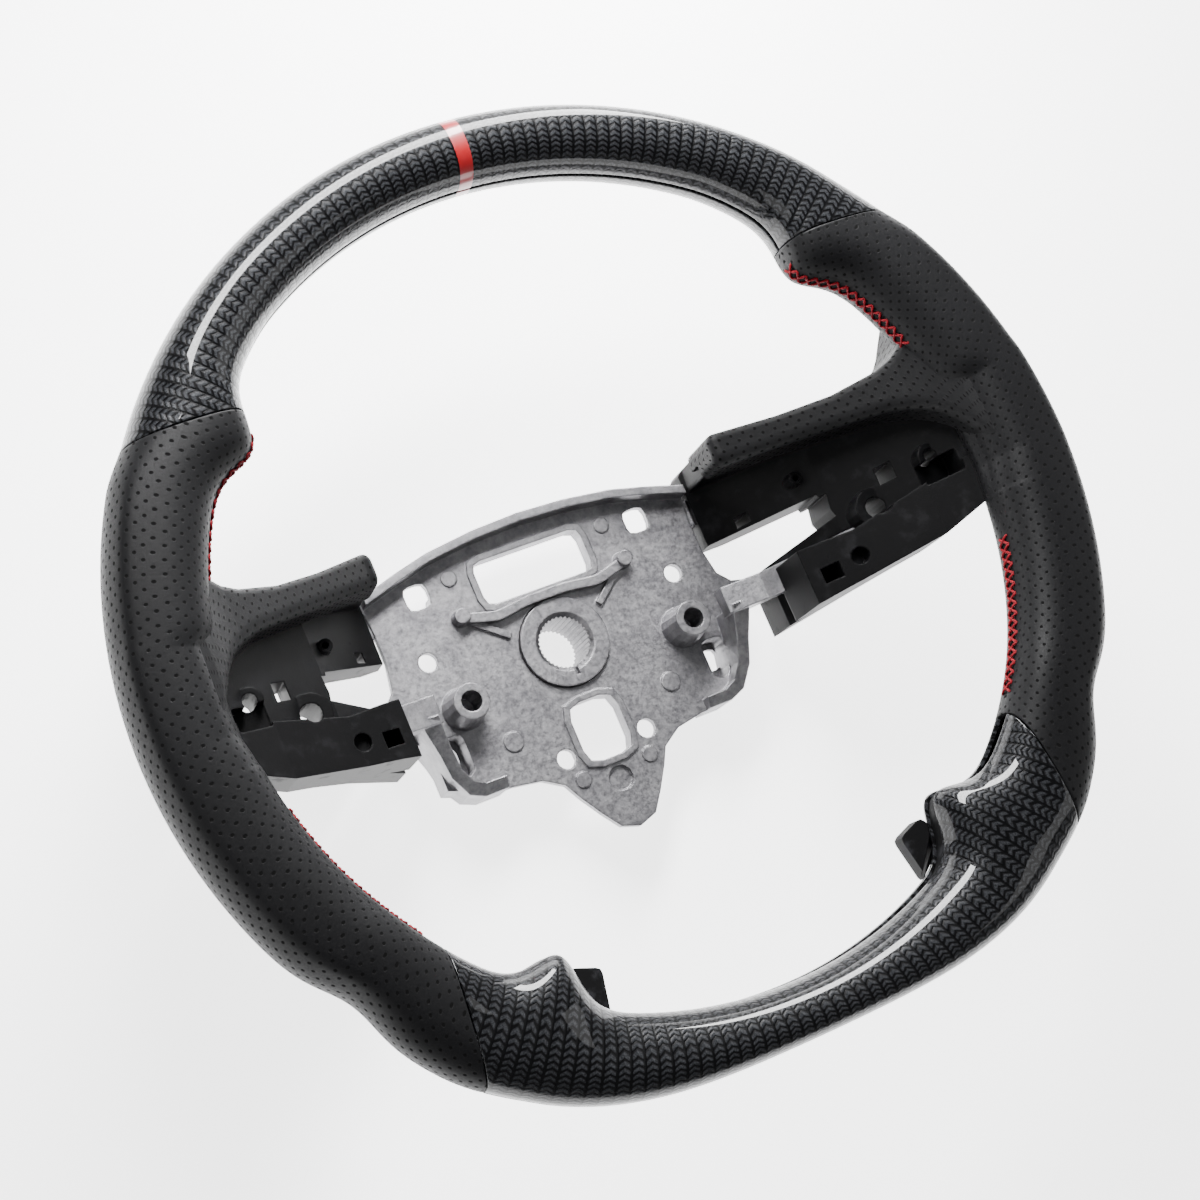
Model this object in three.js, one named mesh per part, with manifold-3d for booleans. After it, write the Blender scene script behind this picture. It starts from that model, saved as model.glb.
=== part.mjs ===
// A flat-bottomed car steering wheel with its airbag, switches and trim taken off: a die-cast
// armature with a splined hub, a steel rim hoop in foam, carbon shells above and below,
// perforated leather grips at the sides, and moulded foam spokes. Millimetres.
// The wheel lies face up: +Z runs along the column towards the driver, +Y points to
// 12 o'clock and +X to 3 o'clock. The origin is on the hub's axis, on its rear face.

import * as THREE from 'three';
import { mergeVertices } from 'three/addons/utils/BufferGeometryUtils.js';
import Module from 'manifold-3d';

const wasm = await Module();
wasm.setup();

// ---------------------------------------------------------------- driving dimensions

const GAP = 0.3; // clearance between neighbouring pieces
const RIM_OUTER = 179; // outer radius of the round part of the rim
const RIM_INNER = 153.5; // inner radius at 12 o'clock
const RIM_Z = 118; // height of the rim's outer equator above the hub's rear face
const FLAT_Y = 171; // the flat bottom's distance from the axis
const SIDE_INNER = 146; // inner radius at the grips
const LOWER_INNER = 150; // inner radius of the lower rim
const SHELL = 1.6; // carbon shell and leather thickness
const FOAM_INSET = SHELL + 2 * GAP; // foam core's outer face below the finished surface
const HOOP_RADIUS = 5; // steel hoop inside the foam
const SQUARENESS = 0.85; // below 1 the rim's oval section turns a little squarer

const PLATE_FRONT = 23; // front face of the armature plate
const PLATE_THICK = 3.5;
const HUB_RADIUS = 18;
const HUB_FRONT = 25;
const SPLINE_RADIUS = 10;
const SPLINE_TEETH = 36;
const POST_TOP = 38.7; // airbag posts
const POST = { x: 48.1, y: -10.9, radius: 7.1, base: 9.5, hole: 4.1 };
const RIB_TOP = 27;
const WALL_TOP = 44; // top of the side lobes' outer walls
const RAISED = 7; // how far the windows' frames stand back behind the plate's face
const FRAME_WIDTH = 2.6; // and how wide they are
const BRACE = 3.2; // thickness of the ribs behind the plate

const UPPER_SEAM_Y = 96.6; // carbon meets leather on this level, above the spokes
const LOWER_SEAM = [[111.8, -94.4], [117, -142]]; // and on this line below them
const STRIPE = 6; // width of the 12 o'clock stripe
const STRIPE_DEPTH = 0.6;

const SECTION_SIDES = 16;
const SHELL_SIDES = 8; // flats round half a section
const RIM_STEP = 6; // degrees between the rim's sections

// ---------------------------------------------------------------- solids and meshes

// Turns a closed geometry into a manifold solid.
function solid(geometry) {
  const bare = new THREE.BufferGeometry();
  bare.setAttribute('position', geometry.getAttribute('position').clone());
  if (geometry.index) bare.setIndex(geometry.index.clone());
  const merged = mergeVertices(bare, 1e-4);
  return new wasm.Manifold(new wasm.Mesh({
    numProp: 3,
    vertProperties: new Float32Array(merged.getAttribute('position').array),
    triVerts: new Uint32Array(merged.index.array),
  }));
}

// Turns a manifold solid back into a geometry, mirrored in X for a left-hand piece.
function geometryOf(manifold, mirrored = false) {
  const mesh = manifold.getMesh();
  const positions = Float32Array.from(mesh.vertProperties);
  const triangles = Array.from(mesh.triVerts);
  if (mirrored) {
    for (let i = 0; i < positions.length; i += 3) positions[i] *= -1;
    triangles.reverse();
  }
  const geometry = new THREE.BufferGeometry();
  geometry.setAttribute('position', new THREE.BufferAttribute(positions, 3));
  geometry.setIndex(triangles);
  return geometry;
}

const joined = (first, ...others) => others.reduce((sum, other) => sum.add(other), first);
const cut = (first, ...others) => others.reduce((rest, other) => rest.subtract(other), first);

// A closed outline whose corners are rounded to a radius.
function roundedShape(points, radius) {
  const shape = new THREE.Shape();
  points.forEach(([x, y], i) => {
    const corner = new THREE.Vector2(x, y);
    const before = new THREE.Vector2(...points[(i + points.length - 1) % points.length]);
    const after = new THREE.Vector2(...points[(i + 1) % points.length]);
    const reach = Math.min(radius, corner.distanceTo(before) / 2.1, corner.distanceTo(after) / 2.1);
    const start = before.sub(corner).setLength(reach).add(corner);
    const end = after.sub(corner).setLength(reach).add(corner);
    if (i === 0) shape.moveTo(start.x, start.y);
    else shape.lineTo(start.x, start.y);
    shape.quadraticCurveTo(x, y, end.x, end.y);
  });
  return shape;
}

// Extrudes an outline: 'z' keeps it in plan, 'y' stands an (x, z) side profile across the spoke,
// and 'x' stands a (y, z) profile across the plate.
const STAND_ALONG_X = new THREE.Matrix4().makeBasis(
  new THREE.Vector3(0, 1, 0),
  new THREE.Vector3(0, 0, 1),
  new THREE.Vector3(1, 0, 0),
);
function prism(points, from, to, axis = 'z', radius = 0) {
  const shape = radius
    ? roundedShape(points, radius)
    : new THREE.Shape(points.map(([x, y]) => new THREE.Vector2(x, y)));
  const depth = to - from;
  const geometry = new THREE.ExtrudeGeometry(shape, { depth, bevelEnabled: false, curveSegments: 2 });
  if (axis === 'z') geometry.translate(0, 0, from);
  if (axis === 'y') geometry.rotateX(Math.PI / 2).translate(0, to, 0);
  if (axis === 'x') geometry.applyMatrix4(STAND_ALONG_X).translate(from, 0, 0);
  return solid(geometry);
}

const rectangle = (x, y, width, height) => [
  [x - width / 2, y - height / 2], [x + width / 2, y - height / 2],
  [x + width / 2, y + height / 2], [x - width / 2, y + height / 2],
];

// A round bar or hole along Z, tapered where the two radii differ.
function round(x, y, z0, z1, radius, baseRadius = radius, sides = 16) {
  const geometry = new THREE.CylinderGeometry(radius, baseRadius, z1 - z0, sides);
  return solid(geometry.rotateX(Math.PI / 2).translate(x, y, (z0 + z1) / 2));
}

// Keeps the main body and drops the slivers that cuts on a shared face can leave.
const mainBody = (manifold) => manifold.decompose().sort((a, b) => b.volume() - a.volume())[0];

const mirroredPair = (manifold) => manifold.add(solid(geometryOf(manifold, true)));

// ---------------------------------------------------------------- the rim's shape

const radians = THREE.MathUtils.degToRad;
const bump = (angle, centre, width) => Math.exp(-(((angle - centre) / width) ** 2));
const ramp = THREE.MathUtils.smoothstep;

// Folds a clock angle (degrees from 3 o'clock, anticlockwise) onto the right half, -90 to 90.
const fold = (angle) => THREE.MathUtils.radToDeg(Math.asin(Math.sin(radians(angle))));

// Outer radius: a circle with a waist and a palm swell at the grip, cut by the flat bottom.
function outerRadius(clock) {
  const a = fold(clock);
  const grip = 1.8 * (ramp(a, -56, -46) - ramp(a, 28, 34));
  const waist = 4.5 * bump(a, -34.5, 5);
  const swell = 4.2 * bump(a, -54, 14);
  const circle = RIM_OUTER + grip - waist + swell;
  if (a > -25) return circle;
  const flat = FLAT_Y / Math.sin(radians(-a));
  const sharpness = 40; // how tightly the flat turns into the circle
  return (circle ** -sharpness + flat ** -sharpness) ** (-1 / sharpness);
}

// Inner radius: narrower grips, a thumb rest above each spoke and a thumb pad below.
function innerRadius(clock) {
  const a = fold(clock);
  const upper = THREE.MathUtils.lerp(SIDE_INNER, RIM_INNER, ramp(a, 30, 58));
  const lower = THREE.MathUtils.lerp(SIDE_INNER, LOWER_INNER, ramp(-a, 48, 66));
  const thumb = 9.5 * bump(a, 38.5, 5);
  const pad = 14 * bump(a, -56, 4.5);
  return (a > 0 ? upper : lower) - thumb - pad;
}

const halfHeight = (clock) => 15 + 2 * bump(fold(clock), 5, 45);
const innerDrop = (clock) => 9 * ramp(-fold(clock), 30, 60); // inner edge below the outer one

// One closed section of the rim, shrunk by an inset, as points from the outer equator round.
function rimSection(clock, inset, from = 0, to = 360, sides = SECTION_SIDES) {
  const outer = outerRadius(clock) - inset;
  const inner = innerRadius(clock) + inset;
  const half = (outer - inner) / 2;
  const points = [];
  const whole = to - from === 360;
  for (let i = 0; i < sides + (whole ? 0 : 1); i += 1) {
    const t = radians(from + ((to - from) * i) / sides);
    const across = Math.sign(Math.cos(t)) * Math.abs(Math.cos(t)) ** SQUARENESS;
    const up = Math.sign(Math.sin(t)) * Math.abs(Math.sin(t)) ** SQUARENESS;
    const rho = (outer + inner) / 2 + half * across;
    const z = RIM_Z + (halfHeight(clock) - inset) * up - (innerDrop(clock) * (1 - across)) / 2;
    const angle = radians(clock);
    points.push([rho * Math.cos(angle), rho * Math.sin(angle), z]);
  }
  return points;
}

// Skins a row of closed sections and caps both ends; a full turn closes on itself.
function loft(sections, closed = false) {
  const n = sections[0].length;
  const positions = sections.flat(2);
  const triangles = [];
  const rows = closed ? sections.length : sections.length - 1;
  for (let r = 0; r < rows; r += 1) {
    const next = (r + 1) % sections.length;
    for (let i = 0; i < n; i += 1) {
      const j = (i + 1) % n;
      const [a, b, c, d] = [r * n + i, r * n + j, next * n + j, next * n + i];
      triangles.push(a, b, c, a, c, d);
    }
  }
  if (!closed) {
    const flat = sections[0].map(([x, y, z]) => new THREE.Vector2(Math.hypot(x, y), z));
    const cap = THREE.ShapeUtils.triangulateShape(flat, []).map((corners) => {
      const sameTurn = THREE.ShapeUtils.area(corners.map((k) => flat[k])) > 0;
      return sameTurn ? corners : corners.reverse();
    });
    const last = (sections.length - 1) * n;
    for (const [i, j, k] of cap) triangles.push(i, k, j, last + i, last + j, last + k);
  }
  // A section runs from the outside over the top, so the skin is wound inside out: turn it.
  triangles.reverse();
  const geometry = new THREE.BufferGeometry();
  geometry.setAttribute('position', new THREE.Float32BufferAttribute(positions, 3));
  geometry.setIndex(triangles);
  return solid(geometry);
}

const steps = (from, to, step = RIM_STEP) => {
  const count = Math.ceil((to - from) / step);
  return Array.from({ length: count + 1 }, (_, i) => from + ((to - from) * i) / count);
};

const rimBar = (from, to, inset, step) => loft(steps(from, to, step).map((a) => rimSection(a, inset)));

// A C-shaped shell along the rim, between two places round its section.
function rimShell(from, to, [start, end], outside, inside, step = RIM_STEP, sides = SHELL_SIDES) {
  return loft(steps(from, to, step).map((a) => [
    ...rimSection(a, outside, start, end, sides),
    ...rimSection(a, inside, start, end, sides).reverse(),
  ]));
}

function hoop(radius, sides = 8) {
  return loft(steps(0, 352.5, 7.5).map((clock) => {
    const angle = radians(clock);
    const rho = (outerRadius(clock) + innerRadius(clock)) / 2;
    const z = RIM_Z - innerDrop(clock) / 2;
    return Array.from({ length: sides }, (_, i) => {
      const t = radians((360 * i) / sides);
      const r = rho + radius * Math.cos(t);
      return [r * Math.cos(angle), r * Math.sin(angle), z + radius * Math.sin(t)];
    });
  }), true);
}

// Blocks of space that trim the rim at its seams, on the right half.
const FAR = 260;
const aboveUpperSeam = (y) => prism([[-FAR, y], [FAR, y], [FAR, FAR], [-FAR, FAR]], 60, 180);
const belowUpperSeam = (y) => prism([[0, -FAR], [FAR, -FAR], [FAR, y], [0, y]], 60, 180);
function lowerSeamBlock(side, offset) {
  const [[x0, y0], [x1, y1]] = LOWER_SEAM;
  const slope = (x1 - x0) / (y1 - y0);
  const at = (y) => x0 + slope * (y - y0) + offset;
  const edge = [[at(0), 0], [at(-FAR), -FAR]];
  if (side === 'outside') return prism([[FAR, 0], ...edge, [FAR, -FAR]], 60, 180);
  return prism([[0, 0], [0, -FAR], edge[1], edge[0]], 60, 180);
}

// ---------------------------------------------------------------- the armature casting

const PLATE_HALF = [ // right half of the plate, from 12 o'clock clockwise
  [0, 53.7], [20, 52.8], [40, 50.3], [62, 44.5], [71, 42], [69.5, 30], [69.5, 16], [71.5, 5],
  [76, 0], [80, -1], [80, -13], [75, -14], [69.5, -18], [67, -26], [65, -35], [60, -43],
  [54, -45.5], [42, -45.5], [30, -47.5], [22, -52.5], [18.5, -59], [13, -67.5], [7.5, -75], [0, -77.5],
];
const ARM_UPPER = [[60, 15], [76, 15], [107, 58], [156, 101], [156, 111], [104, 65], [71, 22], [60, 22]];
const ARM_LOWER = [[62, 34], [72, 34], [106, 62], [156, 107], [156, 117], [104, 72], [78, 46], [62, 42]];
const ARM_UPPER_PLAN = [[60, 28], [156, 16], [156, 26], [60, 39]];
const ARM_LOWER_PLAN = [[62, -15], [156, -16], [156, -6], [62, -4]];
const WINDOWS = [
  { outline: [[-23.5, 23.5], [23.5, 23.5], [23.5, 41.7], [-23.5, 41.7]], corner: 4 },
  { outline: [[-10.3, -48.7], [10.3, -48.7], [10.3, -24.3], [-10.3, -24.3]], corner: 6 },
];
const PLATE_HOLES = [[54, 11, 3.8], [17.6, -43.1, 3.9]]; // x, y, radius, on both sides
const EJECTOR_PADS = [[33.6, 39.2, 3.2], [34.6, -29.5, 4], [14.6, -53, 3.2]]; // and these too
const PIN = { x: 35.6, y: 22.7 }; // locating pins beside the upper window
const PIN_RIB = [[34.4, 23.6], [18.6, 10.6], [20.2, 8.6], [36.2, 21.6]]; // each pin's rib to the hub

// An arm is its side profile seen across the spoke, where it meets its outline in plan. Both
// lists hold the low edge first and then the high edge, so each half is moved out to grow it.
function armBar(profile, plan, grow) {
  const grown = (points) => points.map(([x, y], i) => [x, y + (i < points.length / 2 ? -grow : grow)]);
  return prism(grown(profile), -60, 60, 'y').intersect(prism(grown(plan), 0, 140));
}
const armsRight = (grow = 0) => joined(
  armBar(ARM_UPPER, ARM_UPPER_PLAN, grow),
  armBar(ARM_LOWER, ARM_LOWER_PLAN, grow),
);

function armatureCasting() {
  const mirroredHalf = PLATE_HALF.slice(1, -1).reverse().map(([x, y]) => [-x, y]);
  let plate = prism([...PLATE_HALF, ...mirroredHalf].reverse(), PLATE_FRONT - PLATE_THICK, PLATE_FRONT);

  // The curved flange along the top edge, and its thicker bead.
  const arc = [[70, 42.2], [55, 46.6], [40, 50.3], [20, 52.8], [0, 53.7]];
  const flangeEdge = [...arc, ...arc.slice(0, -1).reverse().map(([x, y]) => [-x, y])];
  const flange = [...flangeEdge, ...flangeEdge.map(([x, y]) => [x, y - 3.4]).reverse()];
  plate = plate.add(prism(flange, 17, 31));

  // Frames round both windows, then the windows themselves.
  for (const { outline, corner } of WINDOWS) {
    const grown = outline.map(([x, y], i) => [
      x + Math.sign(x) * FRAME_WIDTH,
      y + (i < 2 ? -FRAME_WIDTH : FRAME_WIDTH),
    ]);
    plate = plate.add(prism(grown, PLATE_FRONT - RAISED, PLATE_FRONT + 1, 'z', corner + 2));
  }

  // Pin bosses and the bent rib that ties them round the hub's top.
  const rib = [[37, 24.5], [22, 20.2], [8, 22], [-8, 22], [-22, 20.2], [-37, 24.5], [-37, 20.4],
    [-22, 16.2], [-9, 18.2], [9, 18.2], [22, 16.2], [37, 20.4]];
  plate = plate.add(prism(rib, PLATE_FRONT - 1, RIB_TOP, 'z', 3));
  plate = plate.add(mirroredPair(round(PIN.x, PIN.y, PLATE_FRONT - 1, RIB_TOP + 1.8, 3.1, 3.6)));
  plate = plate.add(mirroredPair(prism(PIN_RIB, PLATE_FRONT - 1, PLATE_FRONT + 1.6)));
  for (const [x, y, radius] of EJECTOR_PADS) {
    plate = plate.add(mirroredPair(round(x, y, PLATE_FRONT - 1, PLATE_FRONT + 0.6, radius, radius, 20)));
  }

  // Side lobes: a sunken pocket with an outer wall that rises towards the lower arm.
  const lobe = [[71, -12], [69.5, -18], [67, -26], [65, -35], [60, -43], [54, -45.5], [44, -45.5],
    [44, -41], [52.5, -40.8], [57, -38.5], [60.4, -33], [62, -25], [63.5, -12]];
  const wallFace = prism(lobe, 8, WALL_TOP);
  const aboveWall = prism([[-50, 25], [-11, WALL_TOP], [-11, 60], [-50, 60]], 30, 90, 'x');
  const wall = wallFace.subtract(aboveWall);
  const pocketFloor = prism([[50, -12], [66, -12], [66, -38], [58, -41], [50, -36]], 8, PLATE_FRONT);
  const pocket = prism([[52.5, -19], [62.3, -19], [61.5, -31], [57, -36.5], [52.5, -34]], 11, 60, 'z', 3);
  const slot = prism(rectangle(58.2, -26, 8, 9), 0, 30, 'z', 3);
  plate = cut(plate.add(mirroredPair(pocketFloor)), mirroredPair(pocket), mirroredPair(slot));
  plate = plate.add(mirroredPair(wall));

  // Airbag posts, the rear collar round the hub and the ribs that brace it.
  plate = plate.add(mirroredPair(round(POST.x, POST.y, 12, POST_TOP, POST.radius, POST.base, 18)));
  plate = plate.add(round(0, 0, 6, PLATE_FRONT, HUB_RADIUS + 4, HUB_RADIUS + 3, 32));
  for (const [x, y] of [[48, -11], [44, 34]]) {
    const length = Math.hypot(x, y);
    const across = [((-y / length) * BRACE) / 2, ((x / length) * BRACE) / 2];
    const brace = [[across[0], across[1]], [-across[0], -across[1]],
      [x - across[0], y - across[1]], [x + across[0], y + across[1]]];
    plate = plate.add(mirroredPair(prism(brace, 13, PLATE_FRONT - 1)));
  }
  plate = plate.add(prism(rectangle(0, -60, BRACE, 28), 14, PLATE_FRONT - 1));

  // Arms, then every opening cut last so that nothing fills it.
  plate = plate.add(mirroredPair(armsRight()));
  for (const { outline, corner } of WINDOWS) plate = plate.subtract(prism(outline, 0, 60, 'z', corner));
  for (const [x, y, radius] of PLATE_HOLES) {
    plate = plate.subtract(mirroredPair(round(x, y, 0, 60, radius)));
  }
  const upperSlot = prism(rectangle(48.2, 36.5, 9.6, 10), 0, 60, 'z', 3);
  const postHole = round(POST.x, POST.y, POST_TOP - 16, 60, POST.hole);
  const blindHole = round(0, -57.5, PLATE_FRONT - 1.6, 60, 5);
  const hubHole = round(0, 0, 0, 60, HUB_RADIUS + GAP, HUB_RADIUS + GAP, 36);
  return cut(plate, mirroredPair(upperSlot), mirroredPair(postHole), blindHole, hubHole);
}

// The steel boss pressed into the casting, with a splined bore and a chamfered mouth.
function hubBoss() {
  const bore = [];
  for (let i = 0; i < SPLINE_TEETH * 2; i += 1) {
    const radius = SPLINE_RADIUS + (i % 2 ? 0.55 : -0.15);
    const angle = (Math.PI * 2 * i) / (SPLINE_TEETH * 2);
    bore.push([radius * Math.cos(angle), radius * Math.sin(angle)]);
  }
  const boss = round(0, 0, 0, HUB_FRONT, HUB_RADIUS, HUB_RADIUS, 36);
  const mouth = round(0, 0, HUB_FRONT - 1.6, HUB_FRONT + 0.4, 12.4, 10.2, 30);
  const notch = prism(rectangle(0, -11.4, 1.6, 5), HUB_FRONT - 3, HUB_FRONT + 1);
  return cut(boss, prism(bore, -1, HUB_FRONT + 1), mouth, notch);
}

// ---------------------------------------------------------------- moulded spokes

const FLOOR_TOP = [[70.5, 25], [105, 73], [151, 112]]; // the panel's face seen across the spoke
const FLOOR_BACK = [[70.5, 14], [80, 20], [107, 55], [151, 94]]; // and its back
const WALL_LINE = [[72.5, 66], [113, 96], [134, 112]]; // top of the upper wall
const PANEL_PLAN = [[70.5, 16], [103, 13], [105.5, 2], [83, -3], [83, -28], [132, -23], [147, -18],
  [150.5, -6], [150.5, 30], [136, 38], [113, 40.5], [95, 43.5], [73, 48.5], [70.5, 46]];
const WALL_PLAN = [[72.5, 39], [113, 32], [136, 30], [136, 38], [113, 40.5], [95, 43.5], [73, 48.5]];
const ARM_PLAN = [[83, -6], [104, -7], [150, 1], [150.5, -8], [147, -18], [132, -23], [83, -28]];
const ARM_FACE = [[83, 75], [91, 80], [104, 84], [132, 100], [151, 113]]; // top of the lower arm

// The space between two side profiles, or of a stated depth below one.
const between = (top, back) => prism([...back, ...[...top].reverse()], -60, 70, 'y');
const sideBand = (line, depth) => between(line, line.map(([x, z]) => [x, z - depth]));

function spokeMoulding() {
  const floor = between(FLOOR_TOP, FLOOR_BACK).intersect(prism(PANEL_PLAN, 0, 160));
  const wall = sideBand(WALL_LINE, 44).intersect(prism(WALL_PLAN, 0, 160));
  const arm = sideBand(ARM_FACE, 26).intersect(prism(ARM_PLAN, 0, 160));
  const bosses = [
    round(116.3, -2, 66, 85, 8, 8.6, 20),
    round(137.5, 6.9, 88, 102.2, 5, 5.6),
    round(98.8, 22.3, 54, 68.4, 2.7, 3, 12),
  ];
  const body = joined(floor, wall, arm, ...bosses);
  const window = prism([[60, 0], [104.5, 2.4], [105.5, 11.5], [60, 13.5]], 0, 160);
  const openings = [
    round(116.3, -2, 0, 160, 4.1),
    round(137.5, 6.9, 0, 160, 2.7, 2.7, 12),
    prism(rectangle(124, 8.5, 5.5, 6.8), 0, 160),
    prism(rectangle(82.7, 18.4, 4.2, 4.2), 0, 160),
    round(98.8, 22.3, 64, 160, 1.3, 1.3, 12),
    prism(rectangle(91.2, -19, 7, 6), 60, 160),
    round(102.8, -17.2, 80, 160, 3.4, 3.4, 12),
    prism(rectangle(139, 1, 13, 9), 96, 160, 'z', 1),
  ];
  // The inboard end sits over the plate's shoulder and stops short of its lug.
  const shoulder = prism([[60, -20], [71.4, -20], [71.4, 50], [60, 50]], 0, 31 + GAP);
  const lug = prism([[60, -16], [80.4, -16], [80.4, 1], [60, 1]], 0, PLATE_FRONT + GAP);
  return mainBody(cut(body, window, ...openings, shoulder, lug, armsRight(GAP)));
}

// ---------------------------------------------------------------- foam, leather and carbon

// The grips' sections sit on one grid of angles, so that the layers nest with even gaps.
const GRIP_FROM = -10 * RIM_STEP;
const GRIP_TO = 8 * RIM_STEP;
const SPOKE_RECESS = [[60, -25], [151.2, -25], [151.2, 36], [60, 36]]; // where the spoke enters

function gripZone(solidPiece, shrink) {
  return solidPiece
    .intersect(belowUpperSeam(UPPER_SEAM_Y - shrink))
    .subtract(lowerSeamBlock('inside', shrink));
}

function recess() {
  const back = FLOOR_BACK.map(([x, z]) => [x, z - GAP]);
  const profile = [[60, 0], ...back, [152, 94], [152, 160], [60, 160]];
  return prism(profile, -25, 38.4, 'y').intersect(prism(SPOKE_RECESS, 0, 160));
}

// The space round the spoke's upper wall, grown outwards and run on towards the rim.
function wallCover(grow, drop, runOn) {
  const line = [...WALL_LINE.slice(0, -1), [134 + runOn, 112 + runOn * 0.76]].map(([x, z]) => [x, z + grow]);
  const plan = WALL_PLAN.map(([x, y]) => {
    const side = y < 35 || x < 72 ? -1 : 1;
    return [x + (x === 136 ? runOn : 0), y + (x === 72.5 ? -1 : side) * grow];
  });
  return sideBand(line, drop + grow).intersect(prism(plan, 0, 170));
}

function leatherWrap(foamHole, moulding) {
  const underside = rimBar(GRIP_FROM - RIM_STEP, GRIP_TO + RIM_STEP, SHELL);
  const tube = rimBar(GRIP_FROM, GRIP_TO, 0).subtract(underside);
  const sheath = wallCover(SHELL + GAP, 20, 14).subtract(wallCover(GAP, 60, 0.5));
  const grip = gripZone(tube.subtract(recess()), GAP / 2);
  const spokeSkin = sheath.subtract(rimBar(GRIP_FROM, GRIP_TO, SHELL * 0.5));
  return mainBody(cut(grip.add(spokeSkin), moulding, foamHole));
}

function foamSide(hole) {
  const bar = rimBar(GRIP_FROM, GRIP_TO, FOAM_INSET).subtract(recess());
  return cut(gripZone(bar, GAP / 2), hole);
}

// ---------------------------------------------------------------- assembly

const finish = {
  casting: { color: 0xa9a9ab, metalness: 1, roughness: 0.45 },
  steel: { color: 0x9b9c9e, metalness: 1, roughness: 0.35 },
  foam: { color: 0x1b1b1d, metalness: 0, roughness: 0.7 },
  leather: { color: 0x1c1c1f, metalness: 0, roughness: 0.6 },
  carbon: { color: 0x1f2022, metalness: 0, roughness: 0.15 },
  stripe: { color: 0xc4161c, metalness: 0, roughness: 0.2 },
  thread: { color: 0xc2273f, metalness: 0, roughness: 0.8 },
};

const wheel = new THREE.Group();
function place(name, manifold, look, mirrored = false) {
  const mesh = new THREE.Mesh(geometryOf(manifold, mirrored), new THREE.MeshStandardMaterial(finish[look]));
  mesh.name = name;
  wheel.add(mesh);
}
function placePair(name, manifold, look) {
  place(`${name}_right`, manifold, look);
  place(`${name}_left`, manifold, look, true);
}

place('armature_casting', armatureCasting(), 'casting');
place('hub_boss', hubBoss(), 'steel');
place('rim_hoop', hoop(HOOP_RADIUS), 'steel');

const moulding = spokeMoulding();
placePair('spoke_moulding', moulding, 'foam');

const hollow = joined(hoop(HOOP_RADIUS + GAP), armsRight(GAP));
placePair('grip_foam', foamSide(hollow), 'foam');
placePair('leather_wrap', leatherWrap(hollow, moulding), 'leather');

// Upper rim: foam, two carbon shells that meet on the inner and outer equator, and the stripe.
const upperZone = aboveUpperSeam(UPPER_SEAM_Y + GAP / 2);
const upperSpan = [24, 156];
place('upper_rim_foam', rimBar(...upperSpan, FOAM_INSET, 8).intersect(upperZone).subtract(hollow), 'foam');
const stripeHalf = (STRIPE / 2 / RIM_OUTER) * (180 / Math.PI);
const grooveHalf = stripeHalf * 1.1;
const halves = [['front', [1.5, 178.5]], ['rear', [181.5, 358.5]]];
for (const [side, arc] of halves) {
  const flat = (arc[1] - arc[0]) / SHELL_SIDES;
  const wider = [arc[0] - flat, arc[1] + flat];
  const shell = rimShell(...upperSpan, arc, 0, SHELL, 8).intersect(upperZone);
  const grooveEnds = [90 - grooveHalf, 90 + grooveHalf];
  const groove = rimShell(...grooveEnds, wider, -1, STRIPE_DEPTH + GAP, 3, SHELL_SIDES + 2);
  place(`upper_shell_${side}`, shell.subtract(groove), 'carbon');
  const stripe = rimShell(90 - stripeHalf, 90 + stripeHalf, arc, 0, STRIPE_DEPTH);
  place(`centre_stripe_${side}`, stripe, 'stripe');
}

// Lower rim: the shells leave the foam bare along the inner edge.
const lowerSpan = [-25 * RIM_STEP, -5 * RIM_STEP];
const lowerZone = mirroredPair(lowerSeamBlock('inside', -GAP / 2));
place('lower_rim_foam', rimBar(...lowerSpan, FOAM_INSET).intersect(lowerZone).subtract(hollow), 'foam');
for (const [side, arc] of [['front', [1.5, 168]], ['rear', [192, 358.5]]]) {
  place(`lower_shell_${side}`, rimShell(...lowerSpan, arc, 0, SHELL).intersect(lowerZone), 'carbon');
}

// Trim stubs moulded behind the thumb pads, and the cross-stitched seams inside the grips.
const stub = prism([[60.5, -120.5], [71, -116.5], [77, -128], [64, -138]], 97, 104, 'z', 2);
placePair('trim_stub', stub.subtract(rimBar(-14 * RIM_STEP, -6 * RIM_STEP, -2 * GAP)), 'foam');
for (const [name, from, to] of [['upper_stitching', 18, 42], ['lower_stitching', -36, -18]]) {
  placePair(name, rimShell(from, to, [172, 188], -GAP - 0.8, -GAP, RIM_STEP, 2), 'thread');
}

export default wheel;
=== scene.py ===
# %% [markdown]
# # A flat-bottomed steering wheel
#
# This is a sports wheel for a car with its airbag and trim taken off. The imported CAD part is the
# fixed frame: it gives every size and place. This script puts the finished surfaces round it:
# carbon shells, perforated leather, red cross-stitching, moulded foam and die-cast aluminium.
# +Z runs up the column to the driver, +Y is 12 o'clock and +X is 3 o'clock. Formulas work in
# millimetres, and points become metres when a mesh is made.

import math

import bpy
import numpy as np
from mathutils import Matrix, Vector


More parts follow.
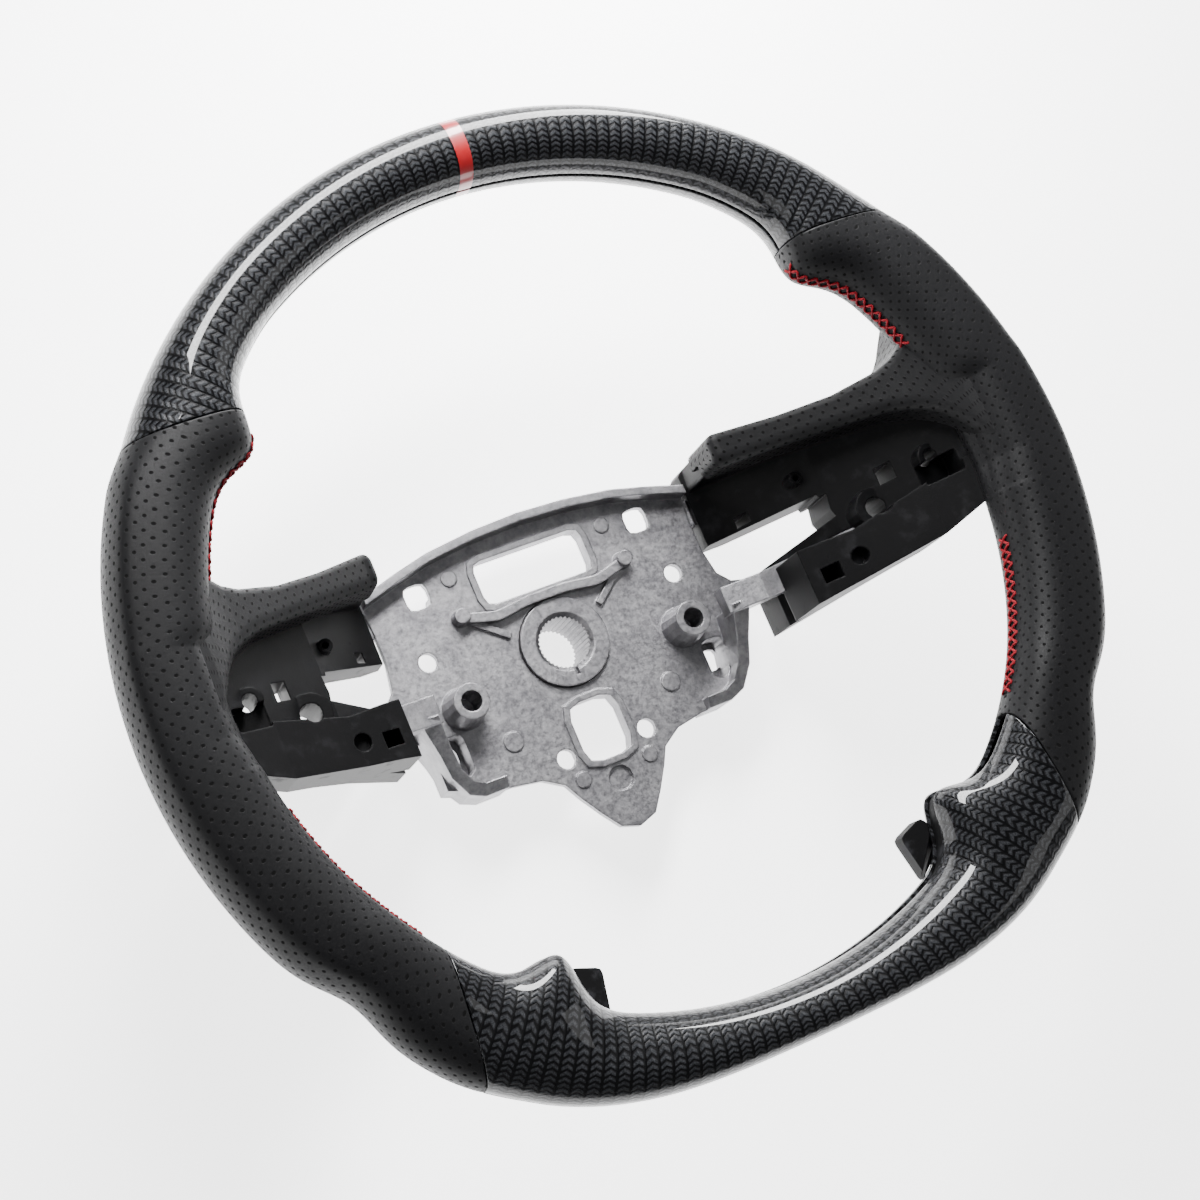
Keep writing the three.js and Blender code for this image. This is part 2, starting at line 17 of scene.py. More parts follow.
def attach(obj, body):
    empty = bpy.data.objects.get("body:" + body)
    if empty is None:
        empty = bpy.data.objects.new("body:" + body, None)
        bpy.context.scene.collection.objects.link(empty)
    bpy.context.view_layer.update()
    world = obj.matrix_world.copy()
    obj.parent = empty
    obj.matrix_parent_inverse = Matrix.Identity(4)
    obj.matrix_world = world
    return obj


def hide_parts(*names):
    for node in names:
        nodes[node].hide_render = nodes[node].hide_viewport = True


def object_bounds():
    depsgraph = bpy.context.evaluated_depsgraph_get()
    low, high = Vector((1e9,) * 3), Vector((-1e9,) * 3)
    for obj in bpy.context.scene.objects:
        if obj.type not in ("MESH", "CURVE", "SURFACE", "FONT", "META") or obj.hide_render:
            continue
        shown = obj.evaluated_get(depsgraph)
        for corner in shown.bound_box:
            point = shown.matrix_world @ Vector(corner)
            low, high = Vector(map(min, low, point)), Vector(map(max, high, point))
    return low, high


MM = 0.001
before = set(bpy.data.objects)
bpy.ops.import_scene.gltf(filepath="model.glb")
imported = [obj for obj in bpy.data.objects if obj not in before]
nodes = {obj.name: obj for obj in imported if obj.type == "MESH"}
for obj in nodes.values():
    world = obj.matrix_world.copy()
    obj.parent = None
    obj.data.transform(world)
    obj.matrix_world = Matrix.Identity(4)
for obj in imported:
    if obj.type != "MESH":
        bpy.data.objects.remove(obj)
cad_box = [[float(v) for v in corner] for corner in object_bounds()]
print("frame:", len(nodes), "nodes, box", np.round(cad_box, 4).tolist())

# %% [markdown]
# ## The rim's skin
#
# On the real wheel a steel hoop is buried in moulded foam, and carbon shells or leather lie on
# the foam. Every layer follows the same shape. It could be sculpted layer by layer, but the
# layers would then drift apart, so the shape is written once, as a formula of two angles.
#
# A place on the rim is a clock angle (degrees from 3 o'clock, anticlockwise) and a turn round the
# section (degrees from the outer equator over the front). The outer radius is a circle with a
# waist, a palm swell and the flat bottom. The inner one has a thumb rest and a thumb pad.

# %% The rim's formulas
RIM_OUTER, RIM_INNER, RIM_Z = 179.0, 153.5, 118.0  # mm
SIDE_INNER, LOWER_INNER, FLAT_Y = 146.0, 150.0, 171.0  # mm
HALF_HEIGHT, GRIP_SWELL, LOWER_TILT = 15.0, 2.0, 9.0  # mm, of the section
SQUARENESS = 0.85  # 1 is an ellipse, and less is squarer
UPPER_SEAM_Y = 96.6  # mm, where carbon meets leather above the spokes
LOWER_SEAM = ((111.8, -94.4), (117.0, -142.0))  # mm, and below them
HALF_GAP = 0.15  # mm, on each side of a seam
PLY = 1.6  # mm, thickness of the shells and of the leather
FOAM_DEPTH = 2.2  # mm, below the skin


def bump(x, centre, width):
    """exp(-((x - centre) / width)^2)"""
    return np.exp(-(((x - centre) / width) ** 2))


def ramp(x, low, high):
    """Smoothstep: t^2 (3 - 2 t) with t = (x - low) / (high - low), held between 0 and 1."""
    t = np.clip((x - low) / (high - low), 0.0, 1.0)
    return t * t * (3.0 - 2.0 * t)


def fold(clock):
    """A clock angle mirrored onto the right half, from -90 to 90 degrees: asin(sin(clock))."""
    return np.degrees(np.arcsin(np.clip(np.sin(np.radians(clock)), -1.0, 1.0)))


def outer_radius(clock):
    """Circle with grip, waist and swell, joined to the flat F by (C^-40 + F^-40)^(-1/40)."""
    a = fold(clock)
    grip = 1.8 * (ramp(a, -56, -46) - ramp(a, 28, 34))
    circle = RIM_OUTER + grip - 4.5 * bump(a, -34.5, 5) + 4.2 * bump(a, -54, 14)
    flat = FLAT_Y / np.sin(np.radians(np.clip(-a, 20.0, 90.0)))
    joined = (circle**-40.0 + flat**-40.0) ** (-1.0 / 40.0)
    return np.where(a > -25.0, circle, joined)


def inner_radius(clock):
    """Side radius eased into the upper or lower one, less the thumb rest and the thumb pad."""
    a = fold(clock)
    upper = SIDE_INNER + (RIM_INNER - SIDE_INNER) * ramp(a, 30, 58)
    lower = SIDE_INNER + (LOWER_INNER - SIDE_INNER) * ramp(-a, 48, 66)
    return np.where(a > 0, upper, lower) - 9.5 * bump(a, 38.5, 5) - 14.0 * bump(a, -56, 4.5)


def rim_point(clock, turn, inset=0.0, least=0.0):
    """x, y, z in mm on the rim's skin, inset mm below it. The inner radius is at least `least`.

    rho = (Ro + Ri) / 2 + (Ro - Ri) / 2 * c and z = Z + h s - drop (1 - c) / 2, where
    c = sgn(cos t) |cos t|^q, s = sgn(sin t) |sin t|^q and q is the squareness.
    """
    outer = outer_radius(clock) - inset
    free = inner_radius(clock)
    inner = (free + least + np.hypot(free - least, 1.5)) / 2 + inset
    half_height = HALF_HEIGHT + GRIP_SWELL * bump(fold(clock), 5, 45) - inset
    drop = LOWER_TILT * ramp(-fold(clock), 30, 60)
    t = np.radians(turn)
    across = np.sign(np.cos(t)) * np.abs(np.cos(t)) ** SQUARENESS
    up = np.sign(np.sin(t)) * np.abs(np.sin(t)) ** SQUARENESS
    rho = (outer + inner) / 2 + (outer - inner) / 2 * across
    z = RIM_Z + half_height * up - drop * (1 - across) / 2
    angle = np.radians(clock)
    return np.stack(np.broadcast_arrays(rho * np.cos(angle), rho * np.sin(angle), z), axis=-1)


def seam_clock(turn, upper, gap):
    """The clock angle on the right half at which the skin meets a seam.

    The seams are straight lines in x and y. The range that holds the answer is halved 36 times.
    """
    low = np.full(np.shape(turn), 20.0 if upper else -64.0)
    high = np.full(np.shape(turn), 62.0 if upper else -30.0)
    (x0, y0), (x1, y1) = LOWER_SEAM
    for _ in range(36):
        mid = (low + high) / 2
        point = rim_point(mid, turn)
        x, y = point[..., 0], point[..., 1]
        line = x0 + (x1 - x0) / (y1 - y0) * (y - y0)
        past = y > UPPER_SEAM_Y + gap if upper else x > line + gap
        high = np.where(past, mid, high)
        low = np.where(past, low, mid)
    return (low + high) / 2


thumb_rest = round(float(inner_radius(38.5)), 1)
print("rim: 12 o'clock", outer_radius(90.0), "mm, thumb rest", thumb_rest, "mm")

# %% [markdown]
# ## From points to closed meshes
#
# A shell, a hide and a stripe are sheets of real thickness. A Solidify modifier could thicken
# them, but here the underside follows the same formula at a greater depth, which keeps it even
# round tight bends. `slab` joins an outer grid to an inner one round their borders. The signed
# volume says whether the faces look outwards, and the builder turns them over if they don't.


# %% Mesh builders
def edge_steps(length, step, roll):
    """Places from 0 to length in mm with a quarter-round of radius roll at both ends.

    Returns the places and how deep each lies: roll (1 - cos a) along, roll (1 - sin a) down.
    """
    a = np.radians([0.0, 22.5, 45.0, 67.5])
    start, depth = roll * (1 - np.cos(a)), roll * (1 - np.sin(a))
    middle = np.linspace(roll, length - roll, max(3, int((length - 2 * roll) / step)))
    places = np.concatenate([start, middle, length - start[::-1]])
    return places, np.concatenate([depth, np.zeros(len(middle)), depth[::-1]])


def grid_quads(rows, columns, closed=False):
    """Corner numbers of the quads of a grid, and the same corners as (row, column) for its UVs."""
    i, j = np.meshgrid(np.arange(rows - 1), np.arange(columns - (not closed)), indexing="ij")
    corners = np.stack([(i, j), (i + 1, j), (i + 1, j + 1), (i, j + 1)]).reshape(4, 2, -1)
    quads = corners[:, 0] * columns + corners[:, 1] % columns
    return quads.T, corners.transpose(2, 0, 1)


def add_piece(name, points, quads, uvs, material, slot, sharp=40.0):
    """Makes a mesh object of points in mm, quads and one UV in mm for each corner."""
    points = np.asarray(points, dtype=float)
    a, b, c, d = (points[quads[:, k]] for k in range(4))
    volume = np.sum(a * np.cross(b, c) + a * np.cross(c, d)) / 6.0
    if volume < 0:
        quads, uvs = quads[:, ::-1], uvs[:, ::-1]
    mesh = bpy.data.meshes.new(name)
    mesh.vertices.add(len(points))
    mesh.vertices.foreach_set("co", (points * MM).ravel())
    mesh.loops.add(quads.size)
    mesh.loops.foreach_set("vertex_index", quads.ravel().astype(np.int32))
    mesh.polygons.add(len(quads))
    mesh.polygons.foreach_set("loop_start", np.arange(0, quads.size, 4, dtype=np.int32))
    mesh.update(calc_edges=True)
    layer = mesh.uv_layers.new(name="surface")
    layer.data.foreach_set("uv", uvs.reshape(-1))
    mesh.shade_smooth()
    mesh.set_sharp_from_angle(angle=math.radians(sharp))
    mesh.materials.append(material)
    piece = bpy.data.objects.new(name, mesh)
    bpy.context.scene.collection.objects.link(piece)
    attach(piece, "root")
    print(f"{name}: {len(quads) * 2} triangles, {abs(volume) / 1000:.1f} cm3")
    return piece


def slab(outer, inner, uv, closed=False):
    """Points, quads and UVs of the closed solid between two grids that share their borders."""
    rows, columns = outer.shape[:2]
    quads, places = grid_quads(rows, columns, closed)
    offset = rows * columns
    skin_uv = uv[places[..., 0], places[..., 1]]
    ids = np.arange(offset).reshape(rows, columns)
    if closed:
        borders = [np.append(ids[0], ids[0, 0]), np.append(ids[-1], ids[-1, 0])[::-1]]
    else:
        round_trip = [ids[0], ids[1:, -1], ids[-1, -2::-1], ids[-2::-1, 0]]
        borders = [np.concatenate(round_trip)]
    strips = [np.stack([b[1:], b[:-1], b[:-1] + offset, b[1:] + offset], 1) for b in borders]
    strips = np.concatenate(strips)
    flat_uv = uv[:, :columns].reshape(-1, 2)
    strip_uv = flat_uv[strips % offset]
    inside = quads[:, ::-1] + offset
    points = np.concatenate([outer.reshape(-1, 3), inner.reshape(-1, 3)])
    faces = np.concatenate([quads, inside, strips])
    # The strips are wound with the outer grid's turn, so that all three parts agree.
    return points, faces, np.concatenate([skin_uv, skin_uv[:, ::-1], strip_uv])


print("builders ready")

# %% [markdown]
# ## Materials
#
# Each finish starts from what the real one is and how it was made. Colours are sRGB hex codes,
# turned to linear by one function. A pattern that follows the surface, as a weave does, reads the
# piece's own UVs, which are in millimetres. Grain and stains read Object coordinates, in metres.


# %% Shader helpers
def linear(code):
    """An sRGB hex code as linear RGBA."""
    s = np.array([(code >> shift & 255) / 255 for shift in (16, 8, 0)])
    rgb = np.where(s <= 0.04045, s / 12.92, ((s + 0.055) / 1.055) ** 2.4)
    return (*map(float, rgb), 1.0)


def add_node(tree, kind, inputs=None, **settings):
    """Adds a shader node. inputs maps a socket to a constant or to another node's output."""
    node = tree.nodes.new(kind)
    for name, value in settings.items():
        setattr(node, name, value)
    for socket, value in (inputs or {}).items():
        if isinstance(value, bpy.types.NodeSocket):
            tree.links.new(value, node.inputs[socket])
        else:
            node.inputs[socket].default_value = value
    return node


def calc(tree, operation, *values):
    """The output of a Math node."""
    settings = dict(enumerate(values))
    return add_node(tree, "ShaderNodeMath", settings, operation=operation).outputs[0]


def blend(tree, factor, low, high):
    """A colour that goes from low to high as factor goes from 0 to 1."""
    node = add_node(tree, "ShaderNodeMix", data_type="RGBA")
    for socket, value in zip((0, 6, 7), (factor, low, high)):
        if isinstance(value, bpy.types.NodeSocket):
            tree.links.new(value, node.inputs[socket])
        else:
            node.inputs[socket].default_value = value
    return node.outputs[2]


def span(tree, value, low, high, to_low=0.0, to_high=1.0):
    """value mapped smoothly from low..high onto to_low..to_high."""
    inputs = {"Value": value, 1: low, 2: high, 3: to_low, 4: to_high}
    return add_node(tree, "ShaderNodeMapRange", inputs, interpolation_type="SMOOTHSTEP").outputs[0]


def new_material(name):
    """An empty material, with its tree and its output node."""
    material = bpy.data.materials.new(name)
    material.use_nodes = True
    tree = material.node_tree
    tree.nodes.clear()
    return material, tree, add_node(tree, "ShaderNodeOutputMaterial")


def surface_uv(tree):
    """u and v in mm."""
    uv = add_node(tree, "ShaderNodeUVMap", uv_map="surface").outputs[0]
    parts = add_node(tree, "ShaderNodeSeparateXYZ", {0: uv})
    return parts.outputs[0], parts.outputs[1]


def object_noise(tree, size_mm, detail=3.0, roughness=0.5):
    """Noise whose features are about size_mm wide, in Object coordinates."""
    place = add_node(tree, "ShaderNodeTexCoord").outputs["Object"]
    inputs = {"Vector": place, "Scale": 1 / (size_mm * MM), "Detail": detail, "Roughness": roughness}
    return add_node(tree, "ShaderNodeTexNoise", inputs).outputs[0]


def bumped(tree, height, depth_mm, normal=None, strength=1.0):
    """A normal from a height of 0 to 1 that stands for depth_mm."""
    inputs = {"Height": height, "Distance": depth_mm * MM, "Strength": strength}
    if normal:
        inputs["Normal"] = normal
    return add_node(tree, "ShaderNodeBump", inputs).outputs[0]


print("shader helpers ready")

# %% [markdown]
# ### Carbon under lacquer
#
# The real shells are carbon cloth laid in a mould, soaked with resin and sprayed with clear
# lacquer. The lacquer gives the sharp streak. The light on the tows themselves is a painted
# highlight in the base colour, lighter or darker at random from spot to spot. A picture of
# cloth would stretch over the bends, so the weave is a formula of the surface's own millimetres.
#
# Columns of tows 4.6 mm wide run across the rim. In each column the left and right tows lean
# towards each other and meet in a chevron every 2.1 mm. With s the distance from the column's
# middle, a tow is where the fraction of v / row - lean s runs from 0 to 1, and its height is the
# sine of that. Each half reflects along its own lean. The base colour follows that height: a
# painted highlight on each tow's crown, and painted shade, near black, between tows and columns.


# %% Carbon laminate
COLUMN, ROW, LEAN = 4.6, 2.1, 1.3  # mm, mm, rows over a whole column


def carbon_material():
    """Chevron columns of carbon tows under a clear coat, with painted highlights on the tows' crowns
    and painted shade between them.
    """
    material, tree, output = new_material("carbon_twill_under_lacquer")
    u, v = surface_uv(tree)
    across = calc(tree, "SUBTRACT", calc(tree, "FRACT", calc(tree, "DIVIDE", u, COLUMN)), 0.5)
    off = calc(tree, "ABSOLUTE", across)
    along = calc(tree, "SUBTRACT", calc(tree, "DIVIDE", v, ROW), calc(tree, "MULTIPLY", off, LEAN))
    crown = calc(tree, "SINE", calc(tree, "MULTIPLY", calc(tree, "FRACT", along), math.pi))
    inside = span(tree, off, 0.5, 0.32)
    height = calc(tree, "MULTIPLY", crown, inside)
    right_half = calc(tree, "GREATER_THAN", across, 0.0)
    fibres = object_noise(tree, 0.5, 2.0)
    # Painted highlight: the colour of a tow's lit crown, lighter or darker at random.
    painted_tow_highlight = blend(tree, span(tree, fibres, 0.3, 0.7), linear(0x18191B), linear(0x333437))
    lengthwise = add_node(tree, "ShaderNodeTangent", direction_type="UV_MAP", uv_map="surface")
    inputs = {
        # Painted shade, near black, where the tows dip between columns, and the painted highlight on
        # their crowns.
        "Base Color": blend(tree, span(tree, height, 0.35, 1.0), linear(0x010102), painted_tow_highlight),
        "Metallic": 0.18,
        "Specular IOR Level": 0.1,
        "Roughness": 0.38,
        "Anisotropic": 0.6,
        "Anisotropic Rotation": span(tree, right_half, 0.0, 1.0, 0.12, 0.38),
        "Normal": bumped(tree, height, 0.14, strength=0.8),
        "Coat Weight": 0.55,
        "Coat IOR": 1.5,
        "Coat Roughness": 0.02,
        "Tangent": lengthwise.outputs[0],
    }
    shader = add_node(tree, "ShaderNodeBsdfPrincipled", inputs)
    tree.links.new(shader.outputs[0], output.inputs[0])
    return material


carbon = carbon_material()
print("made", carbon.name)

# %% [markdown]
# ### Perforated leather
#
# The hide is dyed black, with a fine grain, and punched with holes so that it breathes and grips.
# Thousands of cut holes would swell the mesh, so each is a dull pit in the material, painted
# near black as the shade inside a hole. Holes 1.1 mm wide stand at the corners and in the middle
# of squares of 4.9 mm, which are two square lattices half a cell apart. The distance to the
# nearest hole says where its pit is.


# %% Leather
HOLE_PITCH, HOLE_RADIUS = 4.9, 0.55  # mm


def leather_material():
    """Black hide: satin grain, cloudy wear, and dull pits on the lattice, painted near black as shade
    in the holes.
    """
    material, tree, output = new_material("perforated_black_leather")
    u, v = surface_uv(tree)
    near = []
    for shift in (0.0, 0.5):
        du = calc(tree, "PINGPONG", calc(tree, "ADD", u, shift * HOLE_PITCH), HOLE_PITCH / 2)
        dv = calc(tree, "PINGPONG", calc(tree, "ADD", v, shift * HOLE_PITCH), HOLE_PITCH / 2)
        square = calc(tree, "ADD", calc(tree, "MULTIPLY", du, du), calc(tree, "MULTIPLY", dv, dv))
        near.append(calc(tree, "SQRT", square))
    distance = calc(tree, "MINIMUM", *near)
    solid_here = span(tree, distance, HOLE_RADIUS - 0.1, HOLE_RADIUS + 0.2)
    grain = object_noise(tree, 0.9, 4.0, 0.6)
    wear = object_noise(tree, 22.0, 3.0)
    skin = blend(tree, wear, linear(0x09090A), linear(0x101012))
    grain_normal = bumped(tree, grain, 0.12, strength=0.45)
    gloss = span(tree, grain, 0.3, 0.7, 0.56, 0.42)
    inputs = {
        # Painted shade: the holes are coloured near black, as the shade inside them.
        "Base Color": blend(tree, solid_here, linear(0x010101), skin),
        "Roughness": calc(tree, "SUBTRACT", 1.0, calc(tree, "MULTIPLY", solid_here, gloss)),
        "Specular IOR Level": 0.18,
        "Normal": bumped(tree, solid_here, 0.15, grain_normal, 0.5),
    }
    shader = add_node(tree, "ShaderNodeBsdfPrincipled", inputs)
    tree.links.new(shader.outputs[0], output.inputs[0])
    return material


leather = leather_material()
print("made", leather.name)

# %% [markdown]
# ### Foam skin, cast aluminium, steel, lacquer and thread
#
# The spokes are polyurethane foam moulded with a tough skin, which is black, dull and scuffed
# where trim has rubbed on it. Its ends are trimmed with a knife, so they are rougher. The plate is
# aluminium cast under pressure in a steel die. It cools in streaks and stains, with a fine skin
# grain, and no edge is sharp, so the shader rounds its edges by 0.9 mm. The hoop is machined steel.
# The stripe is gloss lacquer. The thread is waxed polyester, whose filaments show as a spiral,
# with painted shade in the grooves between them and lighter crests.


# %% Foam, metals, lacquer and thread
def moulded_material(name, dark, light, roughness, edge_mm):
    """Moulded foam with a fine grain, dull scuffs and edges rounded by edge_mm."""
    material, tree, output = new_material(name)
    scuff = span(tree, object_noise(tree, 9.0, 6.0, 0.68), 0.52, 0.72)
    grain = object_noise(tree, 0.7, 3.0)
    rounded = add_node(tree, "ShaderNodeBevel", {"Radius": edge_mm * MM}, samples=4).outputs[0]
    inputs = {
        "Base Color": blend(tree, scuff, linear(dark), linear(light)),
        "Roughness": span(tree, scuff, 0.0, 1.0, roughness, roughness + 0.15),
        "Specular IOR Level": 0.12,
        "Normal": bumped(tree, grain, 0.10, rounded, 0.35),
    }
    shader = add_node(tree, "ShaderNodeBsdfPrincipled", inputs)
    tree.links.new(shader.outputs[0], output.inputs[0])
    return material


def cast_material():
    """Die-cast aluminium: mottled flow marks, a fine skin grain and softly rounded edges."""
    material, tree, output = new_material("die_cast_aluminium")
    flow = object_noise(tree, 9.0, 8.0, 0.75)
    stain = object_noise(tree, 1.6, 6.0, 0.7)
    grain = object_noise(tree, 0.8, 4.0, 0.6)
    mottle = calc(tree, "ADD", calc(tree, "MULTIPLY", flow, 0.6), calc(tree, "MULTIPLY", stain, 0.4))
    rounded = add_node(tree, "ShaderNodeBevel", {"Radius": 0.9 * MM}, samples=4).outputs[0]
    inputs = {
        "Base Color": blend(tree, span(tree, mottle, 0.30, 0.72), linear(0x77767A), linear(0xAAA9AB)),
        "Metallic": 1.0,
        "Roughness": span(tree, stain, 0.3, 0.7, 0.38, 0.55),
        "Normal": bumped(tree, grain, 0.12, rounded, 0.4),
    }
    shader = add_node(tree, "ShaderNodeBsdfPrincipled", inputs)
    tree.links.new(shader.outputs[0], output.inputs[0])
    return material


def plain_material(name, colour, metallic, roughness, coat=0.0, grain_mm=1.2, grain_depth=0.05):
    """One colour with a light grain."""
    material, tree, output = new_material(name)
    grain = object_noise(tree, grain_mm, 3.0)
    inputs = {
        "Base Color": linear(colour),
        "Metallic": metallic,
        "Roughness": span(tree, grain, 0.3, 0.7, roughness * 0.9, roughness * 1.1),
        "Normal": bumped(tree, grain, grain_depth, strength=0.3),
        "Coat Weight": coat,
        "Coat Roughness": 0.03,
    }
    shader = add_node(tree, "ShaderNodeBsdfPrincipled", inputs)
    tree.links.new(shader.outputs[0], output.inputs[0])
    return material


FILAMENT_STEP = 0.25  # mm, coarser than the real filaments so that it shows


def thread_material():
    """Waxed polyester: fine filaments run round the yarn in a spiral, painted darker in the grooves
    as shade.
    """
    material, tree, output = new_material("waxed_polyester_thread")
    u, v = surface_uv(tree)
    slanted = calc(tree, "ADD", u, calc(tree, "MULTIPLY", v, 0.6))
    spiral = calc(tree, "MULTIPLY", slanted, 2 * math.pi / FILAMENT_STEP)
    fibre = calc(tree, "MULTIPLY_ADD", calc(tree, "SINE", spiral), 0.5, 0.5)
    inputs = {
        # Painted shade: the red is darker in the grooves between filaments and lighter on their
        # crests.
        "Base Color": blend(tree, fibre, linear(0x46030C), linear(0x93081A)),
        "Roughness": 0.7,
        "Specular IOR Level": 0.2,
        "Normal": bumped(tree, fibre, 0.03, strength=0.6),
    }
    shader = add_node(tree, "ShaderNodeBsdfPrincipled", inputs)
    tree.links.new(shader.outputs[0], output.inputs[0])
    return material


foam_skin = moulded_material("moulded_foam_skin", 0x050506, 0x131315, 0.46, 0.9)
foam_rough = moulded_material("trimmed_foam_edge", 0x0C0C0D, 0x2A2A2D, 0.60, 0.5)
aluminium = cast_material()
steel = plain_material("machined_steel", 0xA2A3A6, 1.0, 0.32)
red_lacquer = plain_material("red_gloss_lacquer", 0x86020A, 0.0, 0.35, coat=1.0)
thread = thread_material()
print("made 6 more materials")

# %% [markdown]
# ## CAD pieces that stay
#
# The armature, its boss, the hoop, the spokes and the trim stubs are hard parts with flat faces
# and drilled holes. Their CAD shape is already the real one, so it isn't modelled again: each only
# takes the material of its own process, and its mesh stays as it is.

# %% Finish the CAD pieces
kept = {
    "armature_casting": aluminium,
    "hub_boss": aluminium,
    "rim_hoop": steel,
    "spoke_moulding_right": foam_skin,
    "spoke_moulding_left": foam_skin,
    "trim_stub_right": foam_rough,
    "trim_stub_left": foam_rough,
}
for name, material in kept.items():
    for place in nodes[name].material_slots:
        place.material = material
print("finished", len(kept), "CAD pieces")

# %% [markdown]
# ## Carbon shells
#
# Two thin shells, front and rear, are bonded over the foam and leave a fine dark line along both
# equators. A single tube would be simpler, but then that line would have to be painted on. Each
# shell runs from seam to seam, over an arc of the section. The seams are straight lines, so every
# column of the grid has its own first and last clock angle. Borders roll over by 0.5 mm.

# %% Carbon shells
ROLL = 0.5  # mm
UV_RADIUS = 165.0  # mm, where lengths along the rim are true


def rim_uv(clock, turn, sense=1.0):
    """u runs along the rim at UV_RADIUS from the axis and v round the section, both in mm.

    The section's length is about 2 pi sqrt((a^2 + b^2) / 2). sense -1 turns v round.
    """
    half_width = (outer_radius(clock) - inner_radius(clock)) / 2
    perimeter = 2 * math.pi * np.sqrt((half_width**2 + HALF_HEIGHT**2) / 2)
    parts = np.broadcast_arrays(np.radians(clock) * UV_RADIUS, sense * turn / 360.0 * perimeter)
    return np.stack(parts, axis=-1)


def rim_sheet(upper, first_turn, last_turn, depth, thickness):
    """Outer grid, inner grid and UVs of a sheet on the upper or lower rim."""
    girth = np.radians(last_turn - first_turn) * HALF_HEIGHT
    across, across_depth = edge_steps(girth, 1.1, ROLL)
    turn = first_turn + (last_turn - first_turn) * across / girth
    gap = HALF_GAP if upper else -HALF_GAP
    start = seam_clock(turn, upper, gap)
    end = 180.0 - start if upper else -180.0 - start
    length = abs(float(end[0] - start[0])) * math.pi / 180.0 * UV_RADIUS
    along, along_depth = edge_steps(length, 1.3, ROLL)
    share = (along / length)[:, None]
    clock = start[None, :] + (end - start)[None, :] * share
    rolled = np.maximum(along_depth[:, None], across_depth[None, :])
    outer = rim_point(clock, turn[None, :], depth + rolled)
    inner = rim_point(clock, turn[None, :], depth + thickness)
    return outer, inner, rim_uv(clock, turn[None, :], 1.0 if upper else -1.0)


# Name of the shell: whether it is on the upper rim, and its first and last turn in degrees.
shells = {
    "upper_shell_front": (True, 1.5, 178.5),
    "upper_shell_rear": (True, 181.5, 358.5),
    "lower_shell_front": (False, 1.5, 168.0),
    "lower_shell_rear": (False, 192.0, 358.5),
}
for name, (upper, first, last) in shells.items():
    sheet = slab(*rim_sheet(upper, first, last, 0.0, PLY))
    shell = add_piece(f"{name}_twill", *sheet, carbon, "carbon_laminate")
    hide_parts(name)

# %% [markdown]
# ## The foam beneath the shells
#
# The foam shows only as the dark line between two shells, and as a strip where the lower shells
# stand apart. It is a ring cut at both ends: the rim's formula at a greater depth outside, and a
# round bore inside, through which the hoop runs.

# %% Foam cores
HOOP_BORE = 5.3  # mm, radius of the foam's hole for the hoop


def rim_core(name, start, end, turns, depth):
    """A closed foam length of rim with a round bore for the hoop, between two clock angles.

    The bore's centre is midway between the skin's outer and inner equators.
    """
    turn = np.linspace(0.0, 360.0, turns, endpoint=False)
    rows = max(12, int(np.ptp([start, end]) / 0.7))
    clock = (start + (end - start) * np.linspace(0, 1, rows))[:, None]
    outer = rim_point(clock, turn[None, :], depth)
    equator = 0.0 * turn[None, :]
    centre = rim_point(clock, equator, depth) / 2 + rim_point(clock, 180.0 + equator, depth) / 2
    radial = np.stack([np.cos(np.radians(clock)), np.sin(np.radians(clock)), 0 * clock], axis=-1)
    t = np.radians(turn)[None, :, None]
    inner = centre + HOOP_BORE * (np.cos(t) * radial + np.sin(t) * np.array([0.0, 0.0, 1.0]))
    uv = rim_uv(clock, np.append(turn, 360.0)[None, :])
    return add_piece(name, *slab(outer, inner, uv, closed=True), foam_rough, "moulded_foam")


upper_core = rim_core("upper_foam_core", 41.0, 139.0, 72, FOAM_DEPTH)
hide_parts("upper_rim_foam")
lower_core = rim_core("lower_foam_core", -53.0, -127.0, 96, FOAM_DEPTH - 0.4)
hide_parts("lower_rim_foam")

# %% [markdown]
# ## The red stripe
#
# A band of lacquer 6 mm wide marks 12 o'clock, so that the driver sees when the wheel is straight.
# It could be a colour in the carbon's material, but it was sprayed on with its own edge, so it is
# its own thin sheet on the same formula. It stands 0.05 mm proud, and its borders come down flush.

# %% Centre stripe
STRIPE_HALF = 3.0 / RIM_OUTER * 180.0 / math.pi  # degrees
STRIPE_PROUD = 0.05  # mm

for side, first, last in (("front", 1.5, 178.5), ("rear", 181.5, 358.5)):
    turn = np.linspace(first, last, 70)[None, :]
    clock = np.linspace(90.0 - STRIPE_HALF, 90.0 + STRIPE_HALF, 9)[:, None]
    border = np.zeros((9, 70))
    border[[0, -1], :] = STRIPE_PROUD
    top = rim_point(clock, turn, border - STRIPE_PROUD)
    band = slab(top, rim_point(clock, turn, 0.3), rim_uv(clock, turn))
    stripe = add_piece(f"stripe_{side}", *band, red_lacquer, "stripe_red")
    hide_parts(f"centre_stripe_{side}")

# %% [markdown]
# ## Leather grips
#
# Each grip is one hide stretched round firm moulded foam and sewn along the inside. It doesn't
# wrinkle, so a simulated cloth would add nothing: the rim's formula with a few soft features is
# closer. The grid goes all the way round the section, from the lower seam to the upper one. A
# crest runs along its front, and the sewn edges meet in a shallow groove on the inner equator.
# Where the spoke comes in, the leather is tucked back to the spoke's outline.

